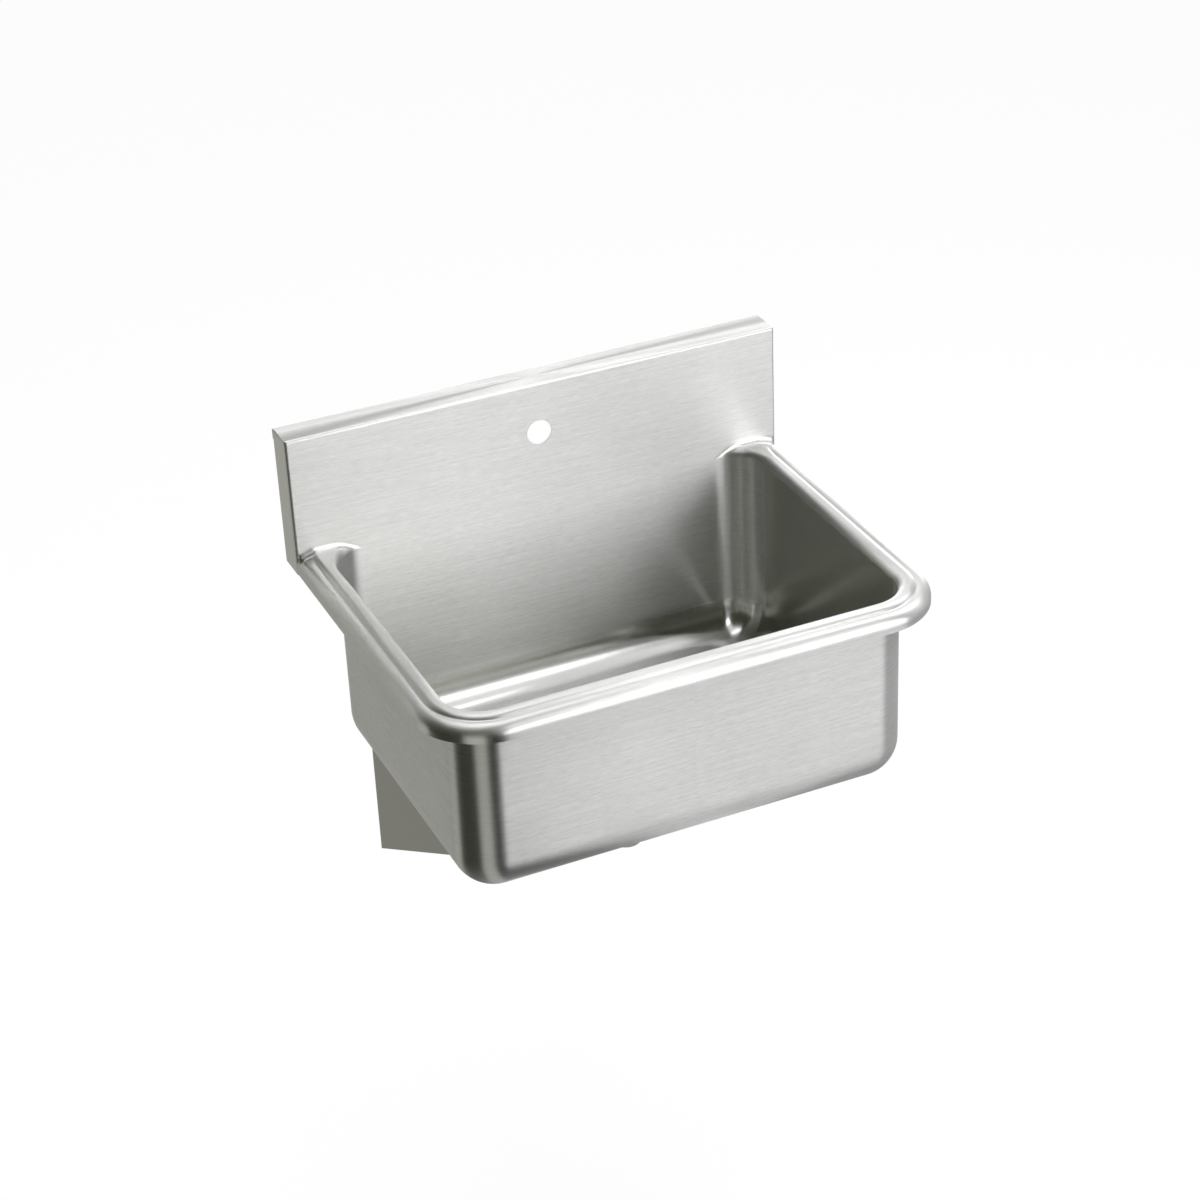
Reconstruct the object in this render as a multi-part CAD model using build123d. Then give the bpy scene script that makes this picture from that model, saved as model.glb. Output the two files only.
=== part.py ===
from build123d import *
import os
from math import hypot, sqrt

# Wall-hung stainless hand sink, in millimetres.
# X runs along the wall to the right of someone facing it, -Y comes out of the wall, +Z is up.
# The origin is on the wall, at the centre of the wall hanger's back face.

# Driving dimensions

overall_width = 635.0          # end cap to end cap
wall_to_front = 495.3          # wall to the front of the rim
splash_depth = 44.45           # wall to the front of the backsplash
splash_rise = 152.4            # rim top to the top of the backsplash
hanger_rise = 124.4            # rim top to the centre of the wall hanger
sheet = 1.9                    # wall of the basin, backsplash and end caps

rim_width = 38.1               # rim's edge to the bowl's inner wall, left, front and right
bowl_depth = 254.0             # inside, rim top to bottom
bowl_corner_radius = 48.0      # inside, upright corners
bowl_bottom_radius = 48.0      # inside, wall to bottom
splash_lap = 0.2               # the bowl's back wall stands this far in front of the backsplash

rim_skirt_drop = 22.3          # rim top to the bottom of the down-turned skirt
rim_roll_radius = 12.5         # rolled outer edge
rim_roll_drop = 3.5            # rim top to the top of that roll
rim_valley_radius = 2.5        # valley between roll and bead
rim_bead_radius = 8.0          # outer side of the raised bead
rim_bead_inset = 25.0          # rim's edge to the start of the bead's flat crown
rim_mouth_radius = 9.0         # bead's crown down into the bowl

splash_bend_radius = 3.2       # outside bend of the backsplash's edges
splash_strip_rise = 13.0       # rim top to the welded joint of basin and backsplash
splash_skirt_drop = 24.2       # rim top to the bottom of the backsplash's ends
splash_lip_height = 14.0       # lip turned down at the back of the backsplash's top
end_cap_seam = 0.4             # gap between the backsplash's end and its cap
end_cap_wall_flange = 14.0     # flange of an end cap along the wall

tap_hole_radius = 15.875
tap_hole_rise = 87.3           # rim top to the hole's centre

hanger_thickness = 2.0
hanger_width = 300.0
hanger_height = 28.0           # flat part of the hanger, on the wall
hanger_hook_height = 10.0
hanger_hook_clearance = 0.3
hanger_hole_radius = 4.5
hanger_hole_spacings = (240.0, 80.0)

bracket_inset = 83.7           # end of the backsplash to the outer face of a bracket
bracket_drop = 472.6           # rim top to the bottom of a bracket
bracket_sheet = 2.7
bracket_reach = 354.0          # wall to the front of a bracket
bracket_nose = 9.0             # height of its front edge
bracket_flange = 34.0
bracket_bend_radius = 4.0      # outside
bracket_hole_radius = 4.5
bracket_hole_spacing = 130.0   # between the two wall holes of a bracket
bracket_hole_drop = 45.0       # bowl's bottom to the upper wall hole

stud_radius = 4.0
stud_length = 20.0
stud_from_front = (34.0, 214.0)  # front of a bracket to its studs
stud_hole_clearance = 0.6
stud_washer_radius = 9.0
stud_washer_thickness = 1.6
stud_washer_clearance = 0.3
nut_across_flats = 13.0
nut_height = 6.5
thread_clearance = 0.05        # bore of a nut over its thread

drain_recess_radius = 40.0     # pressed into the bowl's bottom
drain_recess_depth = 3.0
drain_flange_radius = 34.0
drain_flange_thickness = 2.2
drain_body_radius = 23.5
drain_bore_radius = 20.5
drain_body_length = 36.0       # under the flange
drain_hole_clearance = 0.8
drain_bridge_width = 6.0
drain_bridge_depth = 5.0
grid_radius = 29.0
grid_clearance = 0.2           # grid's edge in its seat
grid_thickness = 1.2
grid_hole_radius = 3.2
grid_ring_radii = (9.5, 17.5)
grid_ring_counts = (6, 12)
grid_screw_radius = 2.5
grid_screw_clearance = 0.2     # screw in the grid's hole
grid_screw_head_radius = 4.5
grid_screw_head_height = 1.6
grid_screw_head_round = 0.8
grid_screw_length = 8.0
gasket_radius = 33.0
gasket_clearance = 0.3         # its bore over the drain body
gasket_thickness = 3.2
fibre_thickness = 1.0
locknut_across_flats = 62.0
locknut_height = 8.0

tailpiece_radius = 19.05
tailpiece_wall = 1.2
tailpiece_length = 84.0
tailpiece_flange_radius = 22.4
tailpiece_flange_thickness = 1.5
tailpiece_washer_thickness = 2.0
coupling_across_flats = 56.0
coupling_height = 18.0
coupling_lip = 3.0
coupling_clearance = 0.3

pad_length = 200.0
pad_width = 110.0
pad_thickness = 3.0
pad_corner_radius = 6.0
pad_bracket_gap = 24.8         # a pad's edge to the bracket's flange

# Places worked out from them

half_width = overall_width / 2
rim_z = -hanger_rise
splash_front = -splash_depth
rim_front = -wall_to_front
splash_top = rim_z + splash_rise
strip_top = rim_z + splash_strip_rise
splash_bottom = rim_z - splash_skirt_drop
skirt_bottom = rim_z - rim_skirt_drop

bowl_side = half_width - rim_width
bowl_back = splash_front - splash_lap
bowl_front = rim_front + rim_width
bowl_middle = (bowl_back + bowl_front) / 2
bowl_bottom = rim_z - bowl_depth
under_bowl = bowl_bottom - sheet

recess_floor = bowl_bottom - drain_recess_depth
under_recess = under_bowl - drain_recess_depth
drain_body_end = recess_floor - drain_body_length
tailpiece_top = drain_body_end - tailpiece_washer_thickness

hook_shoulder = splash_top - splash_lip_height
hanger_bottom = hook_shoulder - hanger_height

far = 2 * overall_width        # past every piece, for cuts that go right through


def box_between(low, high):
    """A box from its lowest to its highest corner."""
    size = [high[k] - low[k] for k in range(3)]
    middle = [(high[k] + low[k]) / 2 for k in range(3)]
    return Pos(*middle) * Box(*size)


def rounded_block(x_half, y_back, y_front, z_low, z_high, corner, bottom=0.0):
    """A block with rounded upright corners and, where asked, a rounded bottom edge."""
    block = box_between((-x_half, y_front, z_low), (x_half, y_back, z_high))
    block = fillet(block.edges().filter_by(Axis.Z), corner)
    if bottom:
        block = fillet(block.edges().group_by(Axis.Z)[0], bottom)
    return block


def disc(radius, z_top, thickness, x=0.0, y=0.0):
    """An upright cylinder hung from its top."""
    return Pos(x, y, z_top - thickness / 2) * Cylinder(radius, thickness)


def hexagon(across_flats, z_top, height, x=0.0, y=0.0):
    """A hexagonal prism hung from its top."""
    profile = RegularPolygon(across_flats / 2, 6, major_radius=False)
    return Pos(x, y, z_top - height) * extrude(profile, height)


def wall_hole(radius, x, z):
    """A cutter along Y, for a hole through sheet that lies along the wall."""
    return Pos(x, 0, z) * Rot(90, 0, 0) * Cylinder(radius, far)


def circle_meeting(first, first_reach, second, second_reach):
    """The upper of the two points at given distances from two centres."""
    dx, dz = second[0] - first[0], second[1] - first[1]
    apart = hypot(dx, dz)
    along = (apart**2 + first_reach**2 - second_reach**2) / (2 * apart)
    across = sqrt(first_reach**2 - along**2)
    return (
        first[0] + (along * dx - across * dz) / apart,
        first[1] + (along * dz + across * dx) / apart,
    )


def towards(start, end, distance):
    """The point that lies a distance from start on the way to end."""
    apart = hypot(end[0] - start[0], end[1] - start[1])
    return (
        start[0] + (end[0] - start[0]) * distance / apart,
        start[1] + (end[1] - start[1]) * distance / apart,
    )


# Rim: its section lies across the rail, u inward from the rim's edge and z from the rim's top.

roll_centre = (rim_roll_radius, -rim_roll_drop - rim_roll_radius)
bead_centre = (rim_bead_inset, -rim_bead_radius)
valley_centre = circle_meeting(
    roll_centre,
    rim_roll_radius + rim_valley_radius,
    bead_centre,
    rim_bead_radius + rim_valley_radius,
)


def arc_about(centre, start, end):
    """The arc about a centre from start to end, the short way."""
    radius = hypot(start[0] - centre[0], start[1] - centre[1])
    middle = ((start[0] + end[0]) / 2, (start[1] + end[1]) / 2)
    return ThreePointArc(start, towards(centre, middle, radius), end)


def rim_section(depth, low, inner):
    """The rim's section from skirt to crown, some depth below its surface, closed at low and inner."""
    roll_radius = rim_roll_radius - depth
    valley_radius = rim_valley_radius + depth
    bead_radius = rim_bead_radius - depth
    skirt_top = (depth, roll_centre[1])
    roll_end = towards(roll_centre, valley_centre, roll_radius)
    bead_start = towards(bead_centre, valley_centre, bead_radius)
    crown = (bead_centre[0], -depth)
    valley_low = (valley_centre[0], valley_centre[1] - valley_radius)
    roll_crown = (roll_centre[0], roll_centre[1] + roll_radius)
    lines = [
        Line((depth, low), skirt_top),
        arc_about(roll_centre, skirt_top, roll_crown),
        arc_about(roll_centre, roll_crown, roll_end),
        arc_about(valley_centre, roll_end, valley_low),
        arc_about(valley_centre, valley_low, bead_start),
        arc_about(bead_centre, bead_start, crown),
        Line(crown, (inner, -depth)),
        Line((inner, -depth), (inner, low)),
        Line((inner, low), (depth, low)),
    ]
    return make_face(lines)


def along_rails(section, rear):
    """Carry a rim section along three rails and round the corners, which share the bowl's centres."""
    turn = bowl_corner_radius + rim_width
    corner_x = half_width - turn
    corner_y = rim_front + turn
    side_section = Plane((-half_width, corner_y, rim_z), x_dir=(1, 0, 0), z_dir=(0, -1, 0)) * section
    front_section = Plane((-corner_x, rim_front, rim_z), x_dir=(0, 1, 0), z_dir=(1, 0, 0)) * section
    side = extrude(side_section, rear - corner_y, dir=(0, 1, 0))
    front = extrude(front_section, 2 * corner_x, dir=(1, 0, 0))
    corner = revolve(side_section, Axis((-corner_x, corner_y, 0), (0, 0, 1)), 90)
    return side + front + corner + mirror(side, Plane.YZ) + mirror(corner, Plane.YZ)


def mouth_edges(solid, height, grown):
    """The edges at a height that follow the bowl's mouth, grown outward by a wall."""
    x_straight = bowl_side - bowl_corner_radius
    y_straight = (bowl_back - bowl_front) / 2 - bowl_corner_radius

    def off_outline(point):
        x_over = max(abs(point.X) - x_straight, 0)
        y_over = max(abs(point.Y - bowl_middle) - y_straight, 0)
        return abs(hypot(x_over, y_over) - bowl_corner_radius - grown)

    def follows(edge):
        points = [edge.position_at(share) for share in (0, 0.5, 1)]
        return all(abs(p.Z - height) < 0.01 and off_outline(p) < 0.01 for p in points)

    return solid.edges().filter_by(follows)


def splash_ends(z_low, z_high):
    """The backsplash's front sheet between two heights, its ends bent back."""
    outside = rounded_block(half_width, half_width, splash_front, z_low, z_high, splash_bend_radius)
    inside = rounded_block(
        half_width - sheet, far, splash_front + sheet, z_low, z_high, splash_bend_radius - sheet
    )
    behind = box_between(
        (-far, splash_front + splash_bend_radius, z_low), (far, far, z_high)
    )
    return outside - inside - behind


def make_basin():
    """Bowl, stepped rim and the welded strip of backsplash behind it, one drawn sheet."""
    rear = bowl_back + 2 * rim_mouth_radius  # the rim is made too long and cut at the backsplash
    filled = along_rails(rim_section(0, -rim_skirt_drop, rim_width + sheet), rear)
    filled += box_between(
        (-half_width + rim_bead_inset, bowl_back - bowl_corner_radius, skirt_bottom),
        (half_width - rim_bead_inset, rear, rim_z),
    )
    filled += rounded_block(
        bowl_side + sheet,
        bowl_back + sheet,
        bowl_front - sheet,
        under_bowl,
        rim_z,
        bowl_corner_radius + sheet,
        bowl_bottom_radius + sheet,
    )
    filled += disc(drain_recess_radius + sheet, bowl_bottom, drain_recess_depth + sheet, y=bowl_middle)
    cavity = rounded_block(
        bowl_side, bowl_back, bowl_front, bowl_bottom, rim_z + sheet, bowl_corner_radius, bowl_bottom_radius
    )
    shell = filled - cavity
    shell = fillet(mouth_edges(shell, rim_z, 0), rim_mouth_radius)

    groove_low = -rim_skirt_drop - sheet
    under_rim = along_rails(rim_section(sheet, groove_low, rim_bead_inset + sheet), rear)
    around_bowl = box_between(
        (-half_width + rim_bead_inset, rim_front + rim_bead_inset, rim_z + groove_low),
        (half_width - rim_bead_inset, rear, rim_z - sheet),
    )
    front_corners = around_bowl.edges().filter_by(Axis.Z).group_by(Axis.Y)[0]
    around_bowl = fillet(front_corners, bowl_corner_radius + rim_width - rim_bead_inset)
    around_bowl -= rounded_block(
        bowl_side + sheet,
        bowl_back + sheet,
        bowl_front - sheet,
        rim_z + groove_low,
        rim_z,
        bowl_corner_radius + sheet,
    )
    around_bowl = fillet(
        mouth_edges(around_bowl, rim_z - sheet, sheet), rim_mouth_radius - sheet
    )
    shell = shell - under_rim - around_bowl

    shell -= box_between((-far, splash_front, splash_bottom), (far, far, far))
    shell += splash_ends(splash_bottom, strip_top)
    shell -= disc(drain_recess_radius, bowl_bottom, drain_recess_depth, y=bowl_middle)
    hole = drain_body_radius + drain_hole_clearance
    shell -= disc(hole, bowl_bottom, far, y=bowl_middle)
    return shell


def make_backsplash_panel():
    """Front sheet with bent ends, top returned to the wall and turned down in a lip, and the tap hole."""
    outside = box_between((-half_width, splash_front, strip_top), (half_width, 0, splash_top))
    front_edges = outside.edges().filter_by(Axis.Z).group_by(Axis.Y)[0]
    top_edges = outside.edges().filter_by(Axis.X).group_by(Axis.Z)[-1]
    outside = fillet(front_edges + top_edges, splash_bend_radius)
    inside = box_between(
        (-half_width + sheet, splash_front + sheet, strip_top - sheet),
        (half_width - sheet, -sheet, splash_top - sheet),
    )
    front_edges = inside.edges().filter_by(Axis.Z).group_by(Axis.Y)[0]
    top_edges = inside.edges().filter_by(Axis.X).group_by(Axis.Z)[-1]
    inside = fillet(front_edges + top_edges, splash_bend_radius - sheet)
    panel = outside - inside
    under_lip = box_between(
        (-far, -sheet - splash_bend_radius, strip_top - sheet), (far, far, hook_shoulder)
    )
    right_end = box_between(
        (half_width - sheet, splash_front + splash_bend_radius, strip_top - sheet),
        (far, far, splash_top - sheet),
    )
    panel = panel - under_lip - right_end - mirror(right_end, Plane.YZ)
    return panel - wall_hole(tap_hole_radius, 0, rim_z + tap_hole_rise)


def rear_bend(block):
    """The upright edge of a block at its left end and rear."""
    return block.edges().filter_by(Axis.Z).group_by(Axis.X)[0].sort_by(Axis.Y)[-1]


def make_end_cap():
    """Left end plate of the backsplash, with a flange along the wall below the lip."""
    cap_front = splash_front + splash_bend_radius + end_cap_seam
    flange_end = -half_width + end_cap_wall_flange
    inner_face = -half_width + sheet
    outside = box_between((-half_width, cap_front, splash_bottom), (flange_end, 0, hook_shoulder))
    inside = box_between((inner_face, -far, splash_bottom), (far, -sheet, hook_shoulder))
    outside = fillet(rear_bend(outside), splash_bend_radius)
    inside = fillet(rear_bend(inside), splash_bend_radius - sheet)
    upper = box_between((-half_width, cap_front, hook_shoulder), (inner_face, 0, splash_top - sheet))
    return outside - inside + upper


def make_wall_hanger():
    """Strip on the wall with a pressed step and an upright hook for the backsplash's lip."""
    hook_back = -sheet - hanger_hook_clearance
    hook_front = hook_back - hanger_thickness
    hook_top = hook_shoulder + hanger_hook_height
    section = make_face(
        Polyline(
            (0, hanger_bottom),
            (0, hook_shoulder),
            (hook_back, hook_shoulder),
            (hook_back, hook_top),
            (hook_front, hook_top),
            (hook_front, hook_shoulder - hanger_thickness),
            (-hanger_thickness, hook_shoulder - hanger_thickness + hook_front + hanger_thickness),
            (-hanger_thickness, hanger_bottom),
            close=True,
        )
    )
    strip = extrude(Plane.YZ * section, hanger_width / 2, both=True)
    for spacing in hanger_hole_spacings:
        for x in (-spacing / 2, spacing / 2):
            strip -= wall_hole(hanger_hole_radius, x, 0)
    return strip


bracket_face = -half_width + bracket_inset
bracket_middle = bracket_face + bracket_flange / 2
bracket_bottom = rim_z - bracket_drop
stud_rows = [from_front - bracket_reach for from_front in stud_from_front]
stud_places = [(x, y) for x in (bracket_middle, -bracket_middle) for y in stud_rows]


def make_bracket():
    """Left support bracket: a triangular web with flanges along the bowl's bottom and the wall."""
    outline = make_face(
        Polyline(
            (0, bracket_bottom),
            (0, under_bowl),
            (-bracket_reach, under_bowl),
            (-bracket_reach, under_bowl - bracket_nose),
            close=True,
        )
    )
    block = extrude(Pos(bracket_face, 0, 0) * (Plane.YZ * outline), bracket_flange, dir=(1, 0, 0))
    outer_edges = block.edges().group_by(Axis.X)[0]
    bent = [outer_edges.sort_by(Axis.Z)[-1], outer_edges.sort_by(Axis.Y)[-1]]
    block = fillet(bent, bracket_bend_radius)
    hollow = box_between(
        (bracket_face + bracket_sheet, -far, -far), (far, -bracket_sheet, under_bowl - bracket_sheet)
    )
    inner_edges = hollow.edges().group_by(Axis.X)[0]
    bent = [inner_edges.sort_by(Axis.Z)[-1], inner_edges.sort_by(Axis.Y)[-1]]
    hollow = fillet(bent, bracket_bend_radius - bracket_sheet)
    bracket = block - hollow
    for drop in (bracket_hole_drop, bracket_hole_drop + bracket_hole_spacing):
        bracket -= wall_hole(bracket_hole_radius, bracket_middle, under_bowl - drop)
    for y in stud_rows:
        bracket -= disc(stud_radius + stud_hole_clearance, under_bowl, bracket_sheet, bracket_middle, y)
    return bracket


def at_each_stud(make):
    """One solid at every stud, as a group."""
    return Compound(children=[make(x, y) for x, y in stud_places])


def make_stud(x, y):
    return disc(stud_radius, under_bowl, stud_length, x, y)


def make_stud_washer(x, y):
    top = under_bowl - bracket_sheet
    washer = disc(stud_washer_radius, top, stud_washer_thickness, x, y)
    return washer - disc(stud_radius + stud_washer_clearance, top, stud_washer_thickness, x, y)


def make_stud_nut(x, y):
    top = under_bowl - bracket_sheet - stud_washer_thickness
    nut = hexagon(nut_across_flats, top, nut_height, x, y)
    return nut - disc(stud_radius + thread_clearance, top, nut_height, x, y)


def ring(inner, outer, z_top, thickness):
    """A flat ring round the drain's axis."""
    return disc(outer, z_top, thickness, y=bowl_middle) - disc(inner, z_top, thickness, y=bowl_middle)


grid_top = recess_floor + drain_flange_thickness
grid_seat = grid_top - grid_thickness


def make_drain_body():
    """Flanged tube through the bowl, with a seat for the grid and a bridge for its screw."""
    body = disc(drain_flange_radius, grid_top, drain_flange_thickness, y=bowl_middle)
    body += disc(drain_body_radius, recess_floor, drain_body_length, y=bowl_middle)
    body -= disc(grid_radius + grid_clearance, grid_top, grid_thickness, y=bowl_middle)
    body -= disc(drain_bore_radius, grid_top, far, y=bowl_middle)
    bridge_reach = (drain_bore_radius + drain_body_radius) / 2
    body += box_between(
        (-drain_bridge_width / 2, bowl_middle - bridge_reach, grid_seat - drain_bridge_depth),
        (drain_bridge_width / 2, bowl_middle + bridge_reach, grid_seat),
    )
    return body - disc(grid_screw_radius + thread_clearance, grid_top, far, y=bowl_middle)


def make_drain_grid():
    """Perforated plate in the drain's seat."""
    plate = disc(grid_radius, grid_top, grid_thickness, y=bowl_middle)
    for ring_radius, count in zip(grid_ring_radii, grid_ring_counts):
        for place in PolarLocations(ring_radius, count):
            plate -= Pos(0, bowl_middle, grid_top) * place * Cylinder(grid_hole_radius, 2 * grid_thickness)
    return plate - disc(grid_screw_radius + grid_screw_clearance, grid_top, grid_thickness, y=bowl_middle)


def make_grid_screw():
    """Pan-head screw down through the grid into the bridge."""
    head_top = grid_top + grid_screw_head_height
    head = disc(grid_screw_head_radius, head_top, grid_screw_head_height, y=bowl_middle)
    head = fillet(head.edges().group_by(Axis.Z)[-1], grid_screw_head_round)
    return head + disc(grid_screw_radius, grid_top, grid_screw_length, y=bowl_middle)


gasket_bore = drain_body_radius + gasket_clearance
fibre_top = under_recess - gasket_thickness
locknut_top = fibre_top - fibre_thickness


def make_locknut():
    """Hexagonal nut that clamps the drain to the bowl."""
    nut = hexagon(locknut_across_flats, locknut_top, locknut_height, y=bowl_middle)
    return nut - disc(drain_body_radius + thread_clearance, locknut_top, locknut_height, y=bowl_middle)


def make_tailpiece():
    """Thin tube with a flange that the coupling nut pulls up."""
    tube = disc(tailpiece_radius, tailpiece_top, tailpiece_length, y=bowl_middle)
    tube += disc(tailpiece_flange_radius, tailpiece_top, tailpiece_flange_thickness, y=bowl_middle)
    return tube - disc(tailpiece_radius - tailpiece_wall, tailpiece_top, tailpiece_length, y=bowl_middle)


def make_coupling_nut():
    """Nut on the drain's thread, its lip under the tailpiece's flange."""
    lip_top = tailpiece_top - tailpiece_flange_thickness
    top = lip_top - coupling_lip + coupling_height
    nut = hexagon(coupling_across_flats, top, coupling_height, y=bowl_middle)
    nut -= disc(drain_body_radius + thread_clearance, top, coupling_height - coupling_lip, y=bowl_middle)
    return nut - disc(tailpiece_radius + coupling_clearance, lip_top, coupling_lip, y=bowl_middle)


def make_pads():
    """Two sound-deadening pads under the bowl, one each side of the drain."""
    pads = []
    left_middle = bracket_face + bracket_flange + pad_bracket_gap + pad_width / 2
    for x in (left_middle, -left_middle):
        pad = Pos(x, bowl_middle, under_bowl - pad_thickness / 2) * Box(pad_width, pad_length, pad_thickness)
        pads.append(fillet(pad.edges().filter_by(Axis.Z), pad_corner_radius))
    return Compound(children=pads)


left_cap = make_end_cap()
left_bracket = make_bracket()

parts = {
    "basin": make_basin(),
    "backsplash_panel": make_backsplash_panel(),
    "end_cap_left": left_cap,
    "end_cap_right": mirror(left_cap, Plane.YZ),
    "wall_hanger": make_wall_hanger(),
    "support_bracket_left": left_bracket,
    "support_bracket_right": mirror(left_bracket, Plane.YZ),
    "bracket_studs": at_each_stud(make_stud),
    "bracket_washers": at_each_stud(make_stud_washer),
    "bracket_nuts": at_each_stud(make_stud_nut),
    "drain_body": make_drain_body(),
    "drain_grid": make_drain_grid(),
    "grid_screw": make_grid_screw(),
    "drain_gasket": ring(gasket_bore, gasket_radius, under_recess, gasket_thickness),
    "fibre_washer": ring(gasket_bore, gasket_radius, fibre_top, fibre_thickness),
    "drain_locknut": make_locknut(),
    "tailpiece": make_tailpiece(),
    "tailpiece_washer": ring(
        drain_bore_radius, tailpiece_flange_radius, drain_body_end, tailpiece_washer_thickness
    ),
    "coupling_nut": make_coupling_nut(),
    "sound_pads": make_pads(),
}

os.makedirs("parts", exist_ok=True)
for name, part in parts.items():
    export_step(part, f"parts/{name}.step")
    print(name, round(part.volume / 1000, 1), "cm3")
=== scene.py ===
import math

import bmesh
import bpy
import numpy as np
from mathutils import Matrix, Vector


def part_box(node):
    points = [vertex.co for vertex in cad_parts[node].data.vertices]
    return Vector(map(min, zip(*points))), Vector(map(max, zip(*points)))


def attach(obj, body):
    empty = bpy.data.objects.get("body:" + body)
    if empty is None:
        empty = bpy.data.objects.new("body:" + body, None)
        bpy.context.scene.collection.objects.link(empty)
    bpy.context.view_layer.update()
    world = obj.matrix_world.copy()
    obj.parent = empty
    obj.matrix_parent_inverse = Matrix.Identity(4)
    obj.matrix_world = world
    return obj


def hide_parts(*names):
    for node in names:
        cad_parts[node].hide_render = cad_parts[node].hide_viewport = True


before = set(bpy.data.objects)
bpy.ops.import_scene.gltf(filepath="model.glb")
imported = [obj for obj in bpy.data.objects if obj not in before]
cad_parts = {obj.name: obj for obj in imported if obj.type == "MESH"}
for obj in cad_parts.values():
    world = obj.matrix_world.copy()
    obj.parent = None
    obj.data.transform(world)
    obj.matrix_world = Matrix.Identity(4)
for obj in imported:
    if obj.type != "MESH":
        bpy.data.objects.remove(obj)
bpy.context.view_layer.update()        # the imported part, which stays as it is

# A wall-hung stainless hand sink, in metres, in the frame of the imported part.
# X runs along the wall, -Y comes out of it and +Z is up.

mm = 0.001
basinLow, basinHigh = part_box("basin")
splashLow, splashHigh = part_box("backsplash_panel")

rim = {
    "stripRise": 13.0 * mm,      # rim's top to the joint of basin and backsplash
    "width": 38.1 * mm,          # rim's edge to the bowl's wall
    "skirtDrop": 22.3 * mm,
    "footDrop": 24.2 * mm,       # down to the foot of the backsplash's ends
    "rollRadius": 12.5 * mm,     # rolled outer edge
    "rollDrop": 3.5 * mm,
    "valleyRadius": 2.5 * mm,
    "beadRadius": 8.0 * mm,
    "crownInset": 25.0 * mm,     # rim's edge to the bead's flat crown
    "mouthRadius": 9.0 * mm,     # crown down into the bowl
    "coveRadius": 9.0 * mm,      # ground weld between rim and backsplash
    "coveFade": 2.5 * mm,        # above it the polish fades out
    "filling": 18.0 * mm,        # before it the valley fills up
    "polish": 0.22,              # 0 is satin and 1 is bright
    "covePolish": 0.5,
}
bowl = {
    "depth": 254.0 * mm,
    "cornerRadius": 48.0 * mm,
    "bottomRadius": 48.0 * mm,
    "recessRadius": 40.0 * mm,   # drain's recess in the bottom
    "recessDepth": 3.0 * mm,
    "recessSoftness": 3.0 * mm,
    "holeRadius": 24.3 * mm,
    "cornerPolish": 0.2,
    # polish over the satin's paintedShadeFrom also brings painted shade to these steep walls
    "sidePolish": 0.7,
    "curvePolish": 0.9,
    "floorPolish": 0.4,
    "recessPolish": 0.6,
}
splash = {
    "sheet": 1.9 * mm,
    "tipReach": 8.0 * mm,        # towards the weld's outer tip the sheet thins out
    "tipShare": 0.03,            # to this share of its thickness
    "bendRadius": 3.2 * mm,
    "topEndRadius": 1.3 * mm,    # ground corner where the top meets the end cap
    "lipHeight": 14.0 * mm,
    "holeRadius": 15.875 * mm,
    "holeRise": 87.3 * mm,
    "holeEdge": 0.45 * mm,
    "patchHalf": 24.0 * mm,      # square of the front sheet round the tap hole
    "foldPolish": 0.35,
}
steps = {
    "skirt": 3, "roll": 30, "valley": 8, "bead": 10, "crown": 4,
    "mouth": 14, "wall": 22, "bottomArc": 26, "floor": 14, "strip": 8,
    "weldedCorner": 16, "cornerLand": 6, "rearCorner": 12,
    "side": 36, "frontCorner": 30, "front": 34, "rear": 34,
    "underHole": 8, "patch": 6, "besideHole": 30, "bend": 8,
}

halfWidth = basinHigh.x
rimFront = basinLow.y
rimTop = basinHigh.z - rim["stripRise"]
splashFront = splashLow.y
splashTop = splashHigh.z
cornerX = halfWidth - rim["width"] - bowl["cornerRadius"]
frontY = rimFront + rim["width"] + bowl["cornerRadius"]
rearY = splashFront - bowl["cornerRadius"]
middleY = (frontY + rearY) / 2


def pointsOf(*coordinates):
    # points from their coordinates, each a number or an array
    return np.stack(np.broadcast_arrays(*coordinates), -1)


def arcPoints(centre, radius, start, end, count):
    # centre plus radius times (cosine, sine) of an angle that runs evenly from start to end, in degrees
    angle = np.radians(np.linspace(start, end, count + 1))
    return pointsOf(centre[0] + radius * np.cos(angle), centre[1] + radius * np.sin(angle))


def eased(count):
    # shares from 0 to 1 that crowd towards both ends: half of one minus the cosine of half a turn's share
    return 0.5 - 0.5 * np.cos(np.pi * np.arange(count + 1) / count)


def runLength(points):
    # distance covered along a row of points, from zero
    return np.concatenate([[0.0], np.cumsum(np.linalg.norm(np.diff(points, axis=0), axis=1))])


def smoothShare(value, low, high):
    # three times the square less twice the cube of how far value lies from low to high
    share = np.clip((value - low) / (high - low), 0, 1)
    return share * share * (3 - 2 * share)


def patch(points, along, across, polish):
    # a grid of points with its grain's two coordinates and how far it is polished
    shape = points.shape[:2]
    grain = pointsOf(np.broadcast_to(along, shape), across)
    return {"points": points, "grain": grain, "polish": np.broadcast_to(polish, shape)}


def bothSides(patches):
    # each patch and its twin at minus x
    twins = [
        {**one, "points": one["points"] * [-1, 1, 1], "grain": one["grain"] * [-1, 1]} for one in patches
    ]
    return patches + twins


def gridFaces(rows, columns, first):
    # corner numbers of every cell of a grid of points counted row by row
    index = first + np.arange(rows * columns).reshape(rows, columns)
    return np.stack([index[:-1, :-1], index[1:, :-1], index[1:, 1:], index[:-1, 1:]], -1).reshape(-1, 4)


def smoothInto(mesh, welded):
    # the worked shape goes back into its mesh, shaded smooth
    welded.to_mesh(mesh)
    welded.free()
    mesh.polygons.foreach_set("use_smooth", np.ones(len(mesh.polygons), bool))


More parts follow.
